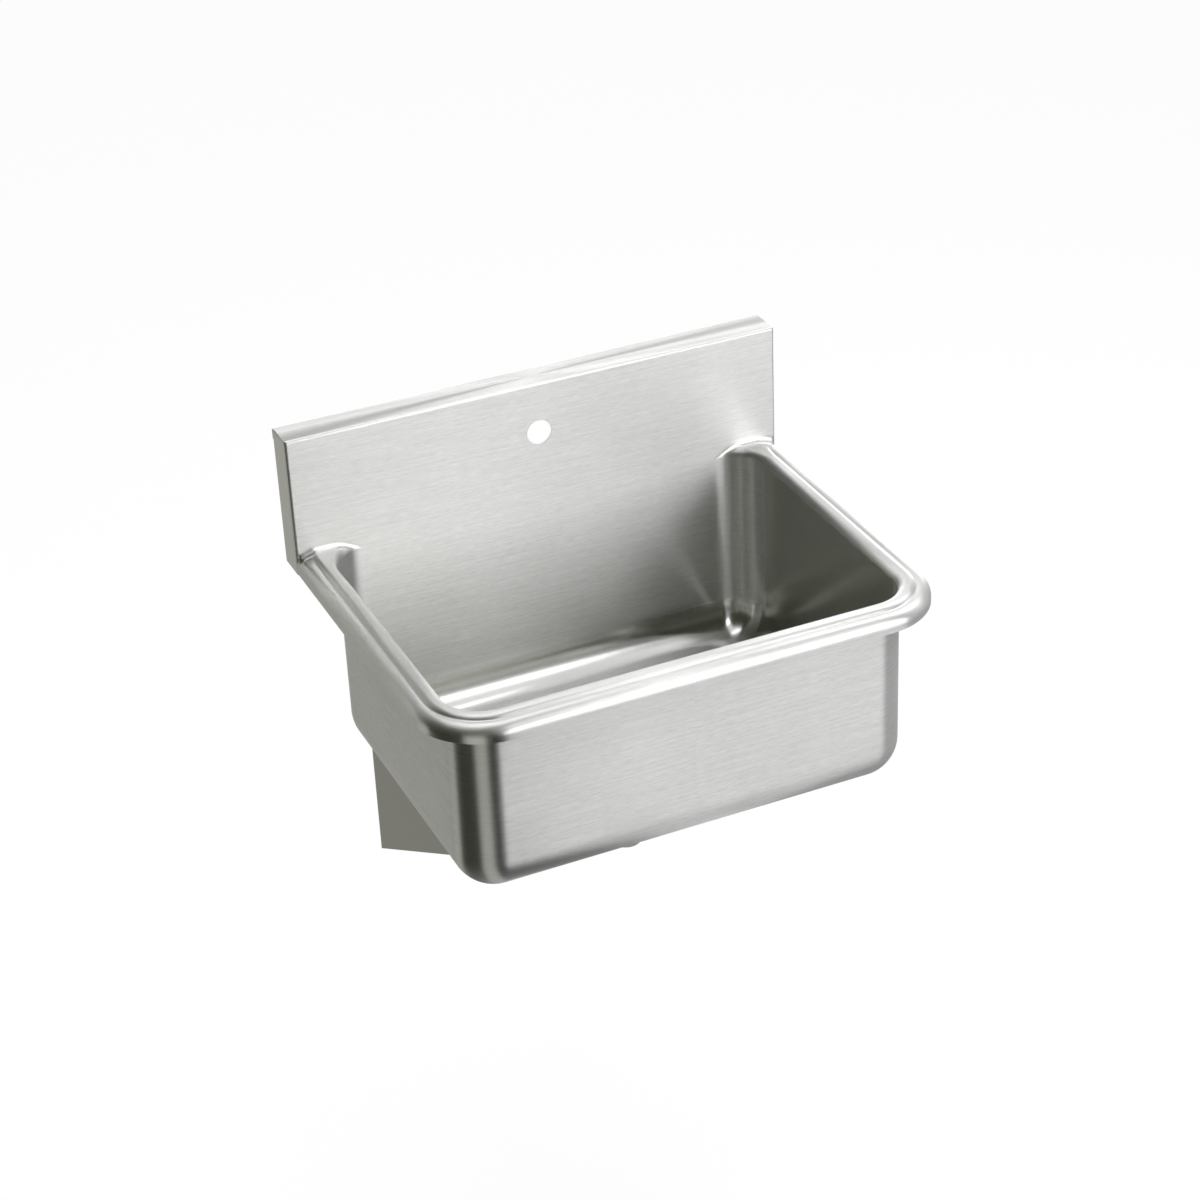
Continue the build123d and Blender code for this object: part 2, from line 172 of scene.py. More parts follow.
def meshFrom(name, patches, facing=None):
    # all patches in one mesh, welded where they meet; facing is the side that an open sheet shows
    faces, first = [], 0
    for one in patches:
        rows, columns = one["points"].shape[:2]
        faces.append(gridFaces(rows, columns, first))
        first += rows * columns
    points, grain, polish = (
        np.concatenate([one[key].reshape(-1, width) for one in patches])
        for key, width in (("points", 3), ("grain", 2), ("polish", 1))
    )
    mesh = bpy.data.meshes.new(name)
    mesh.from_pydata(points.tolist(), [], np.concatenate(faces).tolist())
    corners = np.empty(len(mesh.loops), int)
    mesh.loops.foreach_get("vertex_index", corners)
    mesh.uv_layers.new(name="grain").data.foreach_set("uv", grain[corners].ravel())
    polished = mesh.attributes.new("polish", "FLOAT", "POINT")
    polished.data.foreach_set("value", polish.ravel().astype(np.float32))
    welded = bmesh.new()
    welded.from_mesh(mesh)
    bmesh.ops.remove_doubles(welded, verts=welded.verts, dist=0.004 * mm)
    bmesh.ops.dissolve_degenerate(welded, edges=welded.edges, dist=0.002 * mm)
    bmesh.ops.recalc_face_normals(welded, faces=welded.faces)
    if facing is not None:
        shown = sum((face.normal * face.calc_area() for face in welded.faces), Vector())
        if shown.dot(Vector(facing)) < 0:
            bmesh.ops.reverse_faces(welded, faces=welded.faces)
    for edge in welded.edges:
        edge.smooth = not edge.is_boundary      # a sheet's cut edge stays crisp once it has its wall
    smoothInto(mesh, welded)
    return mesh


def place(mesh, finish, *nodes):
    # the piece rides on the part's one body and stands for its CAD nodes
    material, slotName = finishes[finish]
    piece = bpy.data.objects.new(mesh.name, mesh)
    bpy.context.scene.collection.objects.link(piece)
    mesh.materials.clear()
    mesh.materials.append(material)
    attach(piece, "root")
    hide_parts(*nodes)
    print("piece", piece.name, len(mesh.polygons), "faces")
    return piece


def thicken(piece, tip=None):
    # the sheet's wall goes behind the side that shows; towards a tip, and its twin at minus x, it thins out
    # with the smooth share of the distance
    wall = piece.modifiers.new("wall", "SOLIDIFY")
    wall.thickness = splash["sheet"]
    wall.offset = -1
    wall.use_quality_normals = True
    if tip is None:
        return
    places = np.empty(3 * len(piece.data.vertices))
    piece.data.vertices.foreach_get("co", places)
    places = places.reshape(-1, 3)
    places[:, 0] = np.abs(places[:, 0])
    apart = np.linalg.norm(places - tip, axis=1)
    thinness = 1 - smoothShare(apart, 0.2 * splash["tipReach"], splash["tipReach"])
    thin = piece.vertex_groups.new(name="thin")
    for index in np.flatnonzero(thinness):
        thin.add([int(index)], float(thinness[index]), "REPLACE")
    wall.vertex_group = thin.name
    wall.invert_vertex_group = True
    wall.thickness_vertex_group = splash["tipShare"]


class Wire:
    # an output of a node, on which sums and products add Math nodes
    def __init__(self, graph, socket):
        self.graph = graph
        self.socket = socket

    def __add__(self, other):
        return self.graph.maths("ADD", self, other)

    def __sub__(self, other):
        return self.graph.maths("SUBTRACT", self, other)

    def __rsub__(self, other):
        return self.graph.maths("SUBTRACT", other, self)

    def __mul__(self, other):
        return self.graph.maths("MULTIPLY", self, other)

    __radd__ = __add__
    __rmul__ = __mul__


class Graph:
    # the nodes of one material or world
    def __init__(self, owner):
        owner.use_nodes = True
        self.owner = owner
        self.tree = owner.node_tree
        self.tree.nodes.clear()

    def node(self, kind, settings, sockets, output=0):
        made = self.tree.nodes.new(kind)
        for key, value in settings.items():
            setattr(made, key, value)
        for key, value in sockets.items():
            if isinstance(value, Wire):
                self.tree.links.new(value.socket, made.inputs[key])
            else:
                made.inputs[key].default_value = value
        return Wire(self, made.outputs[output]) if made.outputs else None

    def maths(self, operation, *values):
        return self.node("ShaderNodeMath", {"operation": operation}, dict(enumerate(values)))

    def vectors(self, operation, first, second, output=0):
        return self.node("ShaderNodeVectorMath", {"operation": operation}, {0: first, 1: second}, output)

    def upPart(self, vector):
        return self.node("ShaderNodeSeparateXYZ", {}, {0: vector}, 2)

    def mixColour(self, factor, first, second):
        return self.node("ShaderNodeMix", {"data_type": "RGBA"}, {0: factor, 6: first, 7: second}, 2)

    def noise(self, vector, scale, detail, roughness=0.5):
        sockets = {"Vector": vector, "Scale": scale, "Detail": detail, "Roughness": roughness}
        return self.node("ShaderNodeTexNoise", {}, sockets)

    def streaks(self, vector, stretch, detail, roughness):
        return self.noise(self.vectors("MULTIPLY", vector, stretch), 1.0, detail, roughness)

    def bump(self, height, distance, strength, **under):
        sockets = {"Height": height, "Distance": distance, "Strength": strength, **under}
        return self.node("ShaderNodeBump", {}, sockets)

    def objectPlace(self):
        return self.node("ShaderNodeTexCoord", {}, {}, "Object")

    def finish(self, shader):
        self.node("ShaderNodeOutputMaterial", {}, {"Surface": shader})
        return self.owner


def opaque(red, green, blue):
    return (red, green, blue, 1.0)


satin = {
    "colour": opaque(0.90, 0.905, 0.895),
    "duller": opaque(0.62, 0.625, 0.612),
    "evenShare": 0.58,           # of the colour over the duller one, where neither grain nor cloud moves it
    "buffed": opaque(0.52, 0.52, 0.44),  # painted shade: darker olive tone on the most polished steep walls, standing in for the dark reflections they show; none where they turn level
    "paintedShadeFrom": 0.5,           # polish at which it sets in
    "buffedMost": 0.62,
    "roughness": 0.43,
    "polishedRoughness": 0.13,
    "acrossGrain": 0.95,         # how much wider the gloss spreads across the grain than along it
    "grainRoughness": 0.16,      # how far the grain moves it
    "fineGrain": (75.0, 1050.0, 1.0),
    "broadGrain": (12.0, 330.0, 1.0),
    "fineShare": 0.65,
    "clouding": 9.0,
    "grainDepth": 0.012 * mm,
    "waviness": 0.06 * mm,       # slow unevenness of the pressed sheet
}


def brushedSheet():
    # satin sheet: streaks along the grain's first coordinate, wiped out where the sheet is polished. Under
    # the rim only the bowl's inside is polished: there dot(normal, level way from the bowl's axis) < 0
    graph = Graph(bpy.data.materials.new("satin_sheet"))
    grain = graph.node("ShaderNodeUVMap", {"uv_map": "grain"}, {})
    place3d = graph.objectPlace()
    facing = graph.node("ShaderNodeNewGeometry", {}, {}, "Normal")
    fromAxis = graph.vectors("SUBTRACT", place3d, (0.0, middleY, 0.0))
    level = graph.vectors("MULTIPLY", fromAxis, (1.0, 1.0, 0.0))
    outside = graph.maths("GREATER_THAN", graph.vectors("DOT_PRODUCT", level, facing, "Value"), 0.004)
    underRim = graph.maths("LESS_THAN", graph.upPart(place3d), rimTop - rim["skirtDrop"] - 0.5 * mm)
    given = graph.node("ShaderNodeAttribute", {"attribute_name": "polish"}, {}, "Fac")
    polish = given * (1 - outside * underRim)
    rawness = 1 - polish
    fine = graph.streaks(grain, satin["fineGrain"], 3.0, 0.6)
    broad = graph.streaks(grain, satin["broadGrain"], 2.0, 0.5)
    cloud = graph.noise(place3d, satin["clouding"], 2.0)
    streaks = fine * satin["fineShare"] + broad * (1 - satin["fineShare"])
    share = (streaks - 0.5) * rawness * 2.0 + (cloud - 0.5) * 0.25 + satin["evenShare"]
    colour = graph.mixColour(share, satin["duller"], satin["colour"])
    # painted shade: where the polish passes paintedShadeFrom, steep walls take the darker olive colour that
    # stands in for the dark reflections they show
    steepness = graph.maths("MAXIMUM", 1 - graph.upPart(facing) * 2.2, 0.0)
    paintedShadeShare = graph.maths("MAXIMUM", (polish - satin["paintedShadeFrom"]) * 3.2, 0.0)
    paintedShadeShare = graph.maths("MINIMUM", paintedShadeShare, satin["buffedMost"]) * steepness
    roughness = (streaks - 0.5) * satin["grainRoughness"] + (cloud - 0.5) * 0.05 + satin["roughness"]
    ripple = graph.bump(cloud, satin["waviness"], 0.5)
    shader = graph.node("ShaderNodeBsdfPrincipled", {}, {
        "Base Color": graph.mixColour(paintedShadeShare, colour, satin["buffed"]),
        "Metallic": 1.0,
        "Roughness": roughness * rawness + polish * satin["polishedRoughness"],
        "Anisotropic": satin["acrossGrain"],
        "Anisotropic Rotation": 0.25,
        "Normal": graph.bump(fine, satin["grainDepth"], rawness * 0.8 + 0.02, Normal=ripple),
    })
    return graph.finish(shader), "satin_steel"


def plainMetal(name, slotName, colour, roughness, grainScale, grainDepth, spread=0.06):
    # metal with streaks in object coordinates: the scale's smallest number is the grain's direction
    graph = Graph(bpy.data.materials.new(name))
    place3d = graph.objectPlace()
    streaks = graph.streaks(place3d, grainScale, 3.0, 0.6)
    cloud = graph.noise(place3d, 14.0, 3.0)
    darker = opaque(*[0.86 * part for part in colour])
    shader = graph.node("ShaderNodeBsdfPrincipled", {}, {
        "Base Color": graph.mixColour(streaks * 0.5 + cloud * 0.5, darker, opaque(*colour)),
        "Metallic": 1.0,
        "Roughness": (streaks - 0.5) * spread + (cloud - 0.5) * spread + roughness,
        "Normal": graph.bump(streaks, grainDepth, 0.6),
    })
    return graph.finish(shader), slotName


def dullMaterial(name, slotName, colour, roughness, speckle, depth):
    # rubber, fibre or damping sheet: two noises for tone and a grainy relief
    graph = Graph(bpy.data.materials.new(name))
    place3d = graph.objectPlace()
    fine = graph.noise(place3d, speckle, 4.0, 0.7)
    cloud = graph.noise(place3d, 30.0, 2.0)
    lighter = opaque(*[1.35 * part for part in colour])
    shader = graph.node("ShaderNodeBsdfPrincipled", {}, {
        "Base Color": graph.mixColour(fine * 0.6 + cloud * 0.4, opaque(*colour), lighter),
        "Roughness": (fine - 0.5) * 0.15 + roughness,
        "Normal": graph.bump(fine, depth, 0.5),
    })
    return graph.finish(shader), slotName


finishes = {
    "sheet": brushedSheet(),
    "cap": plainMetal("cap_sheet", "satin_steel", (0.93, 0.93, 0.91), 0.42, (1400, 1400, 14), 0.01 * mm),
    "bracket": plainMetal(
        "bracket_plate", "bracket_steel", (0.52, 0.515, 0.49), 0.42, (900, 16, 900), 0.01 * mm
    ),
    "fastener": plainMetal(
        "bright_fastener", "fastener_steel", (0.66, 0.66, 0.65), 0.25, (500, 500, 500), 0.004 * mm
    ),
    "drain": plainMetal(
        "polished_drain", "drain_steel", (0.68, 0.68, 0.665), 0.16, (300, 300, 1200), 0.003 * mm
    ),
    "chrome": plainMetal(
        "tube_chrome", "tube_chrome", (0.78, 0.78, 0.78), 0.07, (60, 60, 200), 0.001 * mm, 0.03
    ),
    "rubber": dullMaterial("black_rubber", "rubber_black", (0.022, 0.022, 0.023), 0.62, 900, 0.05 * mm),
    "fibre": dullMaterial("pressed_fibre", "fibre_tan", (0.30, 0.17, 0.08), 0.75, 1400, 0.08 * mm),
    "pad": dullMaterial("damping_sheet", "pad_grey", (0.055, 0.057, 0.06), 0.7, 700, 0.15 * mm),
}
print("stage: finishes", len(finishes))


# Rim section across a rail: first number is the distance in from the rim's edge, second the height over its
# top.
rollCentre = np.array([rim["rollRadius"], -rim["rollDrop"] - rim["rollRadius"]])
beadCentre = np.array([rim["crownInset"], -rim["beadRadius"]])


def upperMeeting(first, firstReach, second, secondReach):
    # upper crossing of two circles: along the line of centres by (d2 + r1 r1 - r2 r2) / 2d, then square to it
    apart = np.linalg.norm(second - first)
    along = (apart**2 + firstReach**2 - secondReach**2) / (2 * apart)
    across = math.sqrt(firstReach**2 - along**2)
    direction = (second - first) / apart
    return first + along * direction + across * np.array([-direction[1], direction[0]])


def angleOf(vector):
    return math.degrees(math.atan2(vector[1], vector[0]))


valleyCentre = upperMeeting(
    rollCentre, rim["rollRadius"] + rim["valleyRadius"], beadCentre, rim["beadRadius"] + rim["valleyRadius"]
)


def railProfile():
    # skirt, roll, valley and bead as a line and three arcs, with outward normals, from the skirt's foot to
    # the crown
    rollEnd = angleOf(valleyCentre - rollCentre)
    beadEnd = angleOf(valleyCentre - beadCentre)
    skirt = pointsOf(0.0, np.linspace(-rim["skirtDrop"], rollCentre[1], steps["skirt"] + 1)[:-1])
    roll = arcPoints(rollCentre, rim["rollRadius"], 180, rollEnd, steps["roll"])
    valley = arcPoints(valleyCentre, rim["valleyRadius"], rollEnd - 180, beadEnd - 180, steps["valley"])[1:]
    bead = arcPoints(beadCentre, rim["beadRadius"], beadEnd, 90, steps["bead"])[1:]
    normals = np.concatenate([
        np.tile([-1.0, 0.0], (len(skirt), 1)),
        (roll - rollCentre) / rim["rollRadius"],
        (valleyCentre - valley) / rim["valleyRadius"],
        (bead - beadCentre) / rim["beadRadius"],
    ])
    return np.concatenate([skirt, roll, valley, bead]), normals


def filledSection(points, normals):
    # the weld fills the valley up to the line that touches roll and bead: its normal n has n (bead - roll)
    # = r1 - r2
    apart = beadCentre - rollCentre
    turn = math.radians(angleOf(apart))
    turn += math.acos((rim["rollRadius"] - rim["beadRadius"]) / np.linalg.norm(apart))
    normal = np.array([math.cos(turn), math.sin(turn)])
    first, last = rollCentre + rim["rollRadius"] * normal, beadCentre + rim["beadRadius"] * normal
    between = (points[:, 0] > first[0]) & (points[:, 0] < last[0])
    height = first[1] + (points[:, 0] - first[0]) * (last[1] - first[1]) / (last[0] - first[0])
    filled = pointsOf(points[:, 0], np.where(between, height, points[:, 1]))
    return filled, np.where(between[:, None], normal, normals)


railPoints, railNormals = railProfile()
filledPoints, filledNormals = filledSection(railPoints, railNormals)
railRun = runLength(railPoints)
crownReach = bowl["cornerRadius"] + rim["width"] - rim["crownInset"]
mouthReach = bowl["cornerRadius"] + rim["mouthRadius"]
coveReach = bowl["cornerRadius"] - rim["coveRadius"]
weldStart = math.degrees(math.asin(coveReach / mouthReach))  # corner angle at which the weld meets the mouth
landCorner = math.degrees(math.atan2(coveReach, crownReach))     # and at which it leaves the bead's crown
coveY = rearY + coveReach

cornerAngles = np.concatenate([
    np.linspace(90, weldStart, steps["weldedCorner"] + 1),
    np.linspace(weldStart, landCorner, steps["cornerLand"] + 1)[1:],
    np.linspace(landCorner, 0, steps["rearCorner"] + 1)[1:],
])
weldedCount = steps["weldedCorner"]
landCount = weldedCount + steps["cornerLand"]
mouthRun = rim["mouthRadius"] * math.pi / 2
wallRun = bowl["depth"] - rim["mouthRadius"] - bowl["bottomRadius"]
rearX = np.linspace(0, cornerX, steps["rear"] + 1)


def bowlPath():
    # half of the bowl's outline from its rear centre line: spine point, outward direction and distance run
    angle = np.radians(cornerAngles)
    rearCorner = pointsOf(cornerX, rearY, np.cos(angle), np.sin(angle))
    share = np.linspace(0, 1, steps["side"] + 1)[1:]
    side = pointsOf(cornerX, rearY + (frontY - rearY) * share, 1.0, 0.0)
    angle = np.radians(np.linspace(0, -90, steps["frontCorner"] + 1)[1:])
    frontCorner = pointsOf(cornerX, frontY, np.cos(angle), np.sin(angle))
    front = pointsOf(cornerX * np.linspace(1, 0, steps["front"] + 1)[1:], frontY, 0.0, -1.0)
    rows = np.concatenate([rearCorner, side, frontCorner, front])
    spine, outward = rows[:, :2], rows[:, 2:]
    return spine, outward, cornerX + runLength(spine + bowl["cornerRadius"] * outward)


def bowlProfile():
    # wall straight down from the mouth, then a quarter arc in to the spine
    wall = pointsOf(bowl["cornerRadius"], -rim["mouthRadius"] - wallRun * eased(steps["wall"]))
    arc = arcPoints((0, wall[-1, 1]), bowl["bottomRadius"], 0, -90, steps["bottomArc"])[1:]
    return np.concatenate([wall, arc])


def carried(reach, height, spine, outward):
    # each (reach, height) pair set out from the spine along its outward direction
    flat = spine + reach[..., None] * outward
    return pointsOf(flat[..., 0], flat[..., 1], height + rimTop)


pathSpine, pathOutward, pathRun = bowlPath()
turning = np.minimum(np.abs(pathOutward[:, 0]), np.abs(pathOutward[:, 1]))
cornerPolish = bowl["cornerPolish"] * smoothShare(turning, 0.02, 0.35)
wallReach, wallHeight = bowlProfile().T[..., None]
wallDistance = runLength(bowlProfile())[:, None]
arcShare = (wallDistance - wallRun) / (bowl["bottomRadius"] * math.pi / 2)
polishSetsIn, polishFades = smoothShare(arcShare, -0.12, 0.25), smoothShare(arcShare, 0.75, 1.05)
wallPolish = bowl["curvePolish"] * polishSetsIn * (1 - 0.55 * polishFades)


def mouthStart():
    # angle down the mouth's quarter round at which the weld's ball touches it, none where there is no weld
    corner = np.radians(cornerAngles[:weldedCount + 1])
    sine = (mouthReach - coveReach / np.maximum(np.sin(corner), 0.1)) / (2 * rim["mouthRadius"])
    start = np.zeros(len(pathRun))
    start[:weldedCount + 1] = np.degrees(np.arcsin(np.clip(sine, 0, 1)))
    return start


mouthStarts = mouthStart()


def mouthPatch():
    # quarter round from the crown to the wall, cut back along the weld
    share = np.linspace(0, 1, steps["mouth"] + 1)[:, None]
    angle = np.radians(mouthStarts + (90 - mouthStarts) * share)
    reach = mouthReach - rim["mouthRadius"] * np.sin(angle)
    height = rim["mouthRadius"] * (np.cos(angle) - 1)
    across = (np.degrees(angle) / 90 - 1) * mouthRun
    polish = rim["polish"] - (rim["polish"] - cornerPolish) * smoothShare(share, 0.6, 1.0)
    return patch(carried(reach, height, pathSpine, pathOutward), pathRun, across, polish)


def wallPatch():
    # wall and bottom arc carried along the bowl's outline
    sidePolish = bowl["sidePolish"] * smoothShare(-pathOutward[:, 1], -0.4, 0.0)
    polish = np.maximum(wallPolish, np.maximum(cornerPolish, sidePolish))
    return patch(carried(wallReach, wallHeight, pathSpine, pathOutward), pathRun, wallDistance, polish)


def rearPatch():
    # the same profile carried along the bowl's back
    points = carried(wallReach, wallHeight, pointsOf(rearX, rearY), np.array([[0.0, 1.0]]))
    return patch(points, rearX, wallDistance, wallPolish)


def landPatch():
    # flat crown between the mouth's edge and the bead, wider in the rear corner up to the weld
    spine, outward = pathSpine[weldedCount:], pathOutward[weldedCount:]
    corner = np.radians(cornerAngles[weldedCount:])
    reach = np.full(len(spine), crownReach)
    reach[:len(corner)] = np.minimum(
        crownReach / np.cos(corner), coveReach / np.maximum(np.sin(corner), 1e-9)
    )
    inner, outer = spine + mouthReach * outward, spine + reach[:, None] * outward
    flat = outer + (inner - outer) * np.linspace(0, 1, steps["crown"] + 1)[:, None, None]
    across = -mouthRun - np.linalg.norm(flat - inner, axis=-1)
    return patch(pointsOf(flat[..., 0], flat[..., 1], rimTop), pathRun[weldedCount:], across, rim["polish"])


def coveOutline():
    # where the weld leaves each point of the rail's filled section, and where it lands on the backsplash:
    # the centre of a ball that rolls over the section, then a run round the backsplash's bent end
    radius, bend = rim["coveRadius"], splash["bendRadius"]
    centres = filledPoints + radius * filledNormals
    tilt = np.degrees(np.arctan2(-filledNormals[:, 0], filledNormals[:, 1]))
    endTilt = math.degrees(math.asin((rollCentre[0] - bend) / (rim["rollRadius"] + radius)))
    turn = np.clip((tilt - endTilt) / (90 - endTilt), 0, 1)
    lastHeight = rollCentre[1] + (rim["rollRadius"] + radius) * math.cos(math.radians(endTilt))
    railEnd = coveY + (radius + bend) * smoothShare(turn, 0, 1)
    x = np.where(turn > 0, halfWidth - bend + bend * np.sin(turn * math.pi / 2), halfWidth - centres[:, 0])
    y = splashFront + bend * (1 - np.cos(turn * math.pi / 2))
    z = np.where(turn > 0, lastHeight + (rollCentre[1] - lastHeight) * turn**1.6, centres[:, 1])
    return railEnd, pointsOf(x, y, z + rimTop), turn


railEnd, coveLanding, endTurn = coveOutline()


def railPatch():
    # rail section carried along the rim; at the rear each line of it runs on to the weld and the valley
    # fills up
    reach = bowl["cornerRadius"] + rim["width"] - railPoints[:, :1]
    points = carried(reach, railPoints[:, 1:], pathSpine[landCount:], pathOutward[landCount:])
    corner = np.radians(cornerAngles[landCount:])
    share = np.tan(corner) / math.tan(math.radians(landCorner))
    rear = slice(0, len(corner))
    points[:, rear, 0] = halfWidth - railPoints[:, :1]
    points[:, rear, 1] = rearY + (railEnd[:, None] - rearY) * share
    filling = smoothShare(points[:, rear, 1], coveY - rim["filling"], coveY - 1 * mm)
    points[:, rear, 2] += (filledPoints - railPoints)[:, 1:] * filling
    along = np.repeat(pathRun[None, landCount:], len(railPoints), 0)
    along[:, rear] = pathRun[len(cornerAngles) - 1] - (points[:, rear, 1] - rearY)
    across = -mouthRun - (crownReach - mouthReach) - (railRun[-1] - railRun)
    return patch(points, along, across[:, None], rim["polish"])


def covePatches():
    # the weld: beside the mouth a great-circle arc of the ball, elsewhere a quarter turn from rail to
    # backsplash
    radius = rim["coveRadius"]
    welded = slice(0, weldedCount + 1)
    share = np.linspace(0, 1, steps["mouth"] + 1)[:, None]
    angle, outward = np.radians(mouthStarts[welded]), pathOutward[welded]
    x, y = (pathSpine[welded] + mouthReach * outward).T
    toBall = pointsOf(-outward[:, 0] * np.sin(angle), -outward[:, 1] * np.sin(angle), np.cos(angle))
    centre = pointsOf(x, y, rimTop - rim["mouthRadius"]) + (rim["mouthRadius"] + radius) * toBall
    toWall = np.array([0.0, 1.0, 0.0])
    opening = np.arccos(np.clip(-toBall @ toWall, -1, 1))
    sine = np.maximum(np.sin(opening), 1e-7)
    blend = (np.sin((1 - share) * opening) / sine)[..., None] * -toBall
    blend += (np.sin(share * opening) / sine)[..., None] * toWall
    corner = centre + radius * np.where(opening[:, None] > 1e-4, blend, toWall)
    cornerAcross = (np.degrees(angle) / 90 - 1) * mouthRun

    landX = cornerX + coveReach / np.tan(np.radians(cornerAngles[weldedCount:landCount + 1]))
    order = slice(None, steps["skirt"] - 1, -1)      # from the crown out to the skirt's top
    railLine = pointsOf(halfWidth - railPoints[order, 0], railEnd[order], filledPoints[order, 1] + rimTop)
    start = np.concatenate([pointsOf(landX, coveY, rimTop), railLine[1:]])
    landing = np.concatenate([pointsOf(landX, splashFront, rimTop + radius), coveLanding[order][1:]])
    hold = 0.5523 * (landing - start)                # a cubic curve's handles for a quarter circle
    curve = (start, start + hold * [0, 1, 0], landing - hold * [1, 0, 1], landing)
    weights = [(1 - share) ** 3, 3 * share * (1 - share) ** 2, 3 * share**2 * (1 - share), share**3]
    edge = sum(weight[..., None] * points for weight, points in zip(weights, curve))
    return [
        patch(corner, pathRun[welded], cornerAcross - share * radius, rim["covePolish"]),
        patch(edge, start[:, 0], -mouthRun - share * radius, rim["covePolish"]),
    ], np.concatenate([corner[-1], edge[-1][1:]])


def stripPatch(landing):
    # flat strip of backsplash from the bowl's mouth and the weld's landing up to the joint
    mouth = rimTop - rim["mouthRadius"]
    x, y, low = np.concatenate([pointsOf(rearX, splashFront, mouth), landing[1:]]).T
    height = low + (rimTop + rim["stripRise"] - low) * (np.linspace(0, 1, steps["strip"] + 1) ** 1.7)[:, None]
    welded = smoothShare(x, cornerX - 0.5 * mm, cornerX)
    polish = rim["covePolish"] * welded * (1 - smoothShare(height - low, 0, rim["coveFade"]))
    return patch(pointsOf(x, y, height), x, mouth - height, polish)


def floorPatch():
    # bottom: straight lines from the bowl's inner rectangle to the drain's round recess, which dips by an
    # eased step
    border = np.concatenate([pointsOf(rearX, rearY), pathSpine[len(cornerAngles):]])
    apart = np.linalg.norm(np.diff(border, axis=0), axis=1)
    border = border[np.concatenate([[True], apart > 1e-9])]
    centre = np.array([0.0, middleY])
    direction = (border - centre) / np.linalg.norm(border - centre, axis=1)[:, None]
    softness = bowl["recessSoftness"]
    outer, inner = bowl["recessRadius"] + softness, bowl["recessRadius"] - softness
    rounds = np.concatenate([outer - 2 * softness * eased(8), np.linspace(inner, bowl["holeRadius"], 4)[1:]])
    share = (1 - np.linspace(0, 1, steps["floor"] + 1)[:-1]) ** 1.5
    ring = centre + outer * direction
    flat = ring + (border - ring) * share[:, None, None]
    x, y = np.concatenate([flat, centre + rounds[:, None, None] * direction]).transpose(2, 0, 1)
    dip = np.concatenate([0 * share, bowl["recessDepth"] * smoothShare(outer - rounds, 0, 2 * softness)])
    polish = np.concatenate([0 * share + bowl["floorPolish"], 0 * rounds + bowl["recessPolish"]])
    return patch(pointsOf(x, y, rimTop - bowl["depth"] - dip[:, None]), x, y, polish[:, None])


def footPatch(landing):
    # the backsplash's sheet under the weld, from the weld's landing down behind the rim's skirt
    x, y, top = (landing - [0, 0, 0.3 * mm]).T
    height = top + (rimTop - rim["footDrop"] - top) * np.linspace(0, 1, 5)[:, None]
    return patch(pointsOf(x, y, height), x, rimTop - rim["mouthRadius"] - height, 0.0)


def makeBasin():
    cove, landing = covePatches()
    patches = [mouthPatch(), wallPatch(), rearPatch(), landPatch(), railPatch(), *cove, stripPatch(landing)]
    patches.append(floorPatch())
    shell = place(meshFrom("basin_shell", bothSides(patches), (0, 0, 1)), "sheet", "basin")
    thicken(shell, (halfWidth, splashFront + splash["bendRadius"], rimTop + rollCentre[1]))
    foot = place(meshFrom("splash_foot", bothSides([footPatch(landing)]), (0, -1, 0)), "sheet", "basin")
    thicken(foot)


makeBasin()
print("stage: basin")


def splashRows():
    # section of the backsplash: front, bend, top, bend and lip, each row with its outward normal and end
    # radius
    bend, half = splash["bendRadius"], splash["patchHalf"]
    hole = rimTop + splash["holeRise"]
    heights = np.concatenate([
        np.linspace(rimTop + rim["stripRise"], hole - half, steps["underHole"] + 1)[:-1],
        np.linspace(hole - half, hole + half, 2 * steps["patch"] + 1)[:-1],
        hole + half + (splashTop - bend - hole - half) * eased(8),
    ])
    front = pointsOf(splashFront, heights)
    frontBend = arcPoints((splashFront + bend, splashTop - bend), bend, 180, 90, steps["bend"])[1:]
    top = pointsOf(splashFront + bend + (-bend - splashFront - bend) * eased(10), splashTop)[1:]
    rearBend = arcPoints((-bend, splashTop - bend), bend, 90, 0, steps["bend"])[1:]
    lip = pointsOf(0.0, np.linspace(splashTop - bend, splashTop - splash["lipHeight"], 5)[1:])
    normals = np.concatenate([
        np.tile([-1.0, 0.0], (len(front), 1)),
        (frontBend - [splashFront + bend, splashTop - bend]) / bend,
        np.tile([0.0, 1.0], (len(top), 1)),
        (rearBend - [-bend, splashTop - bend]) / bend,
        np.tile([1.0, 0.0], (len(lip), 1)),
    ])
    frontFacing = smoothShare(-normals[:, 0], 0, 1)
    endRadius = splash["topEndRadius"] + (bend - splash["topEndRadius"]) * frontFacing
    return np.concatenate([front, frontBend, top, rearBend, lip]), normals, endRadius[:, None]


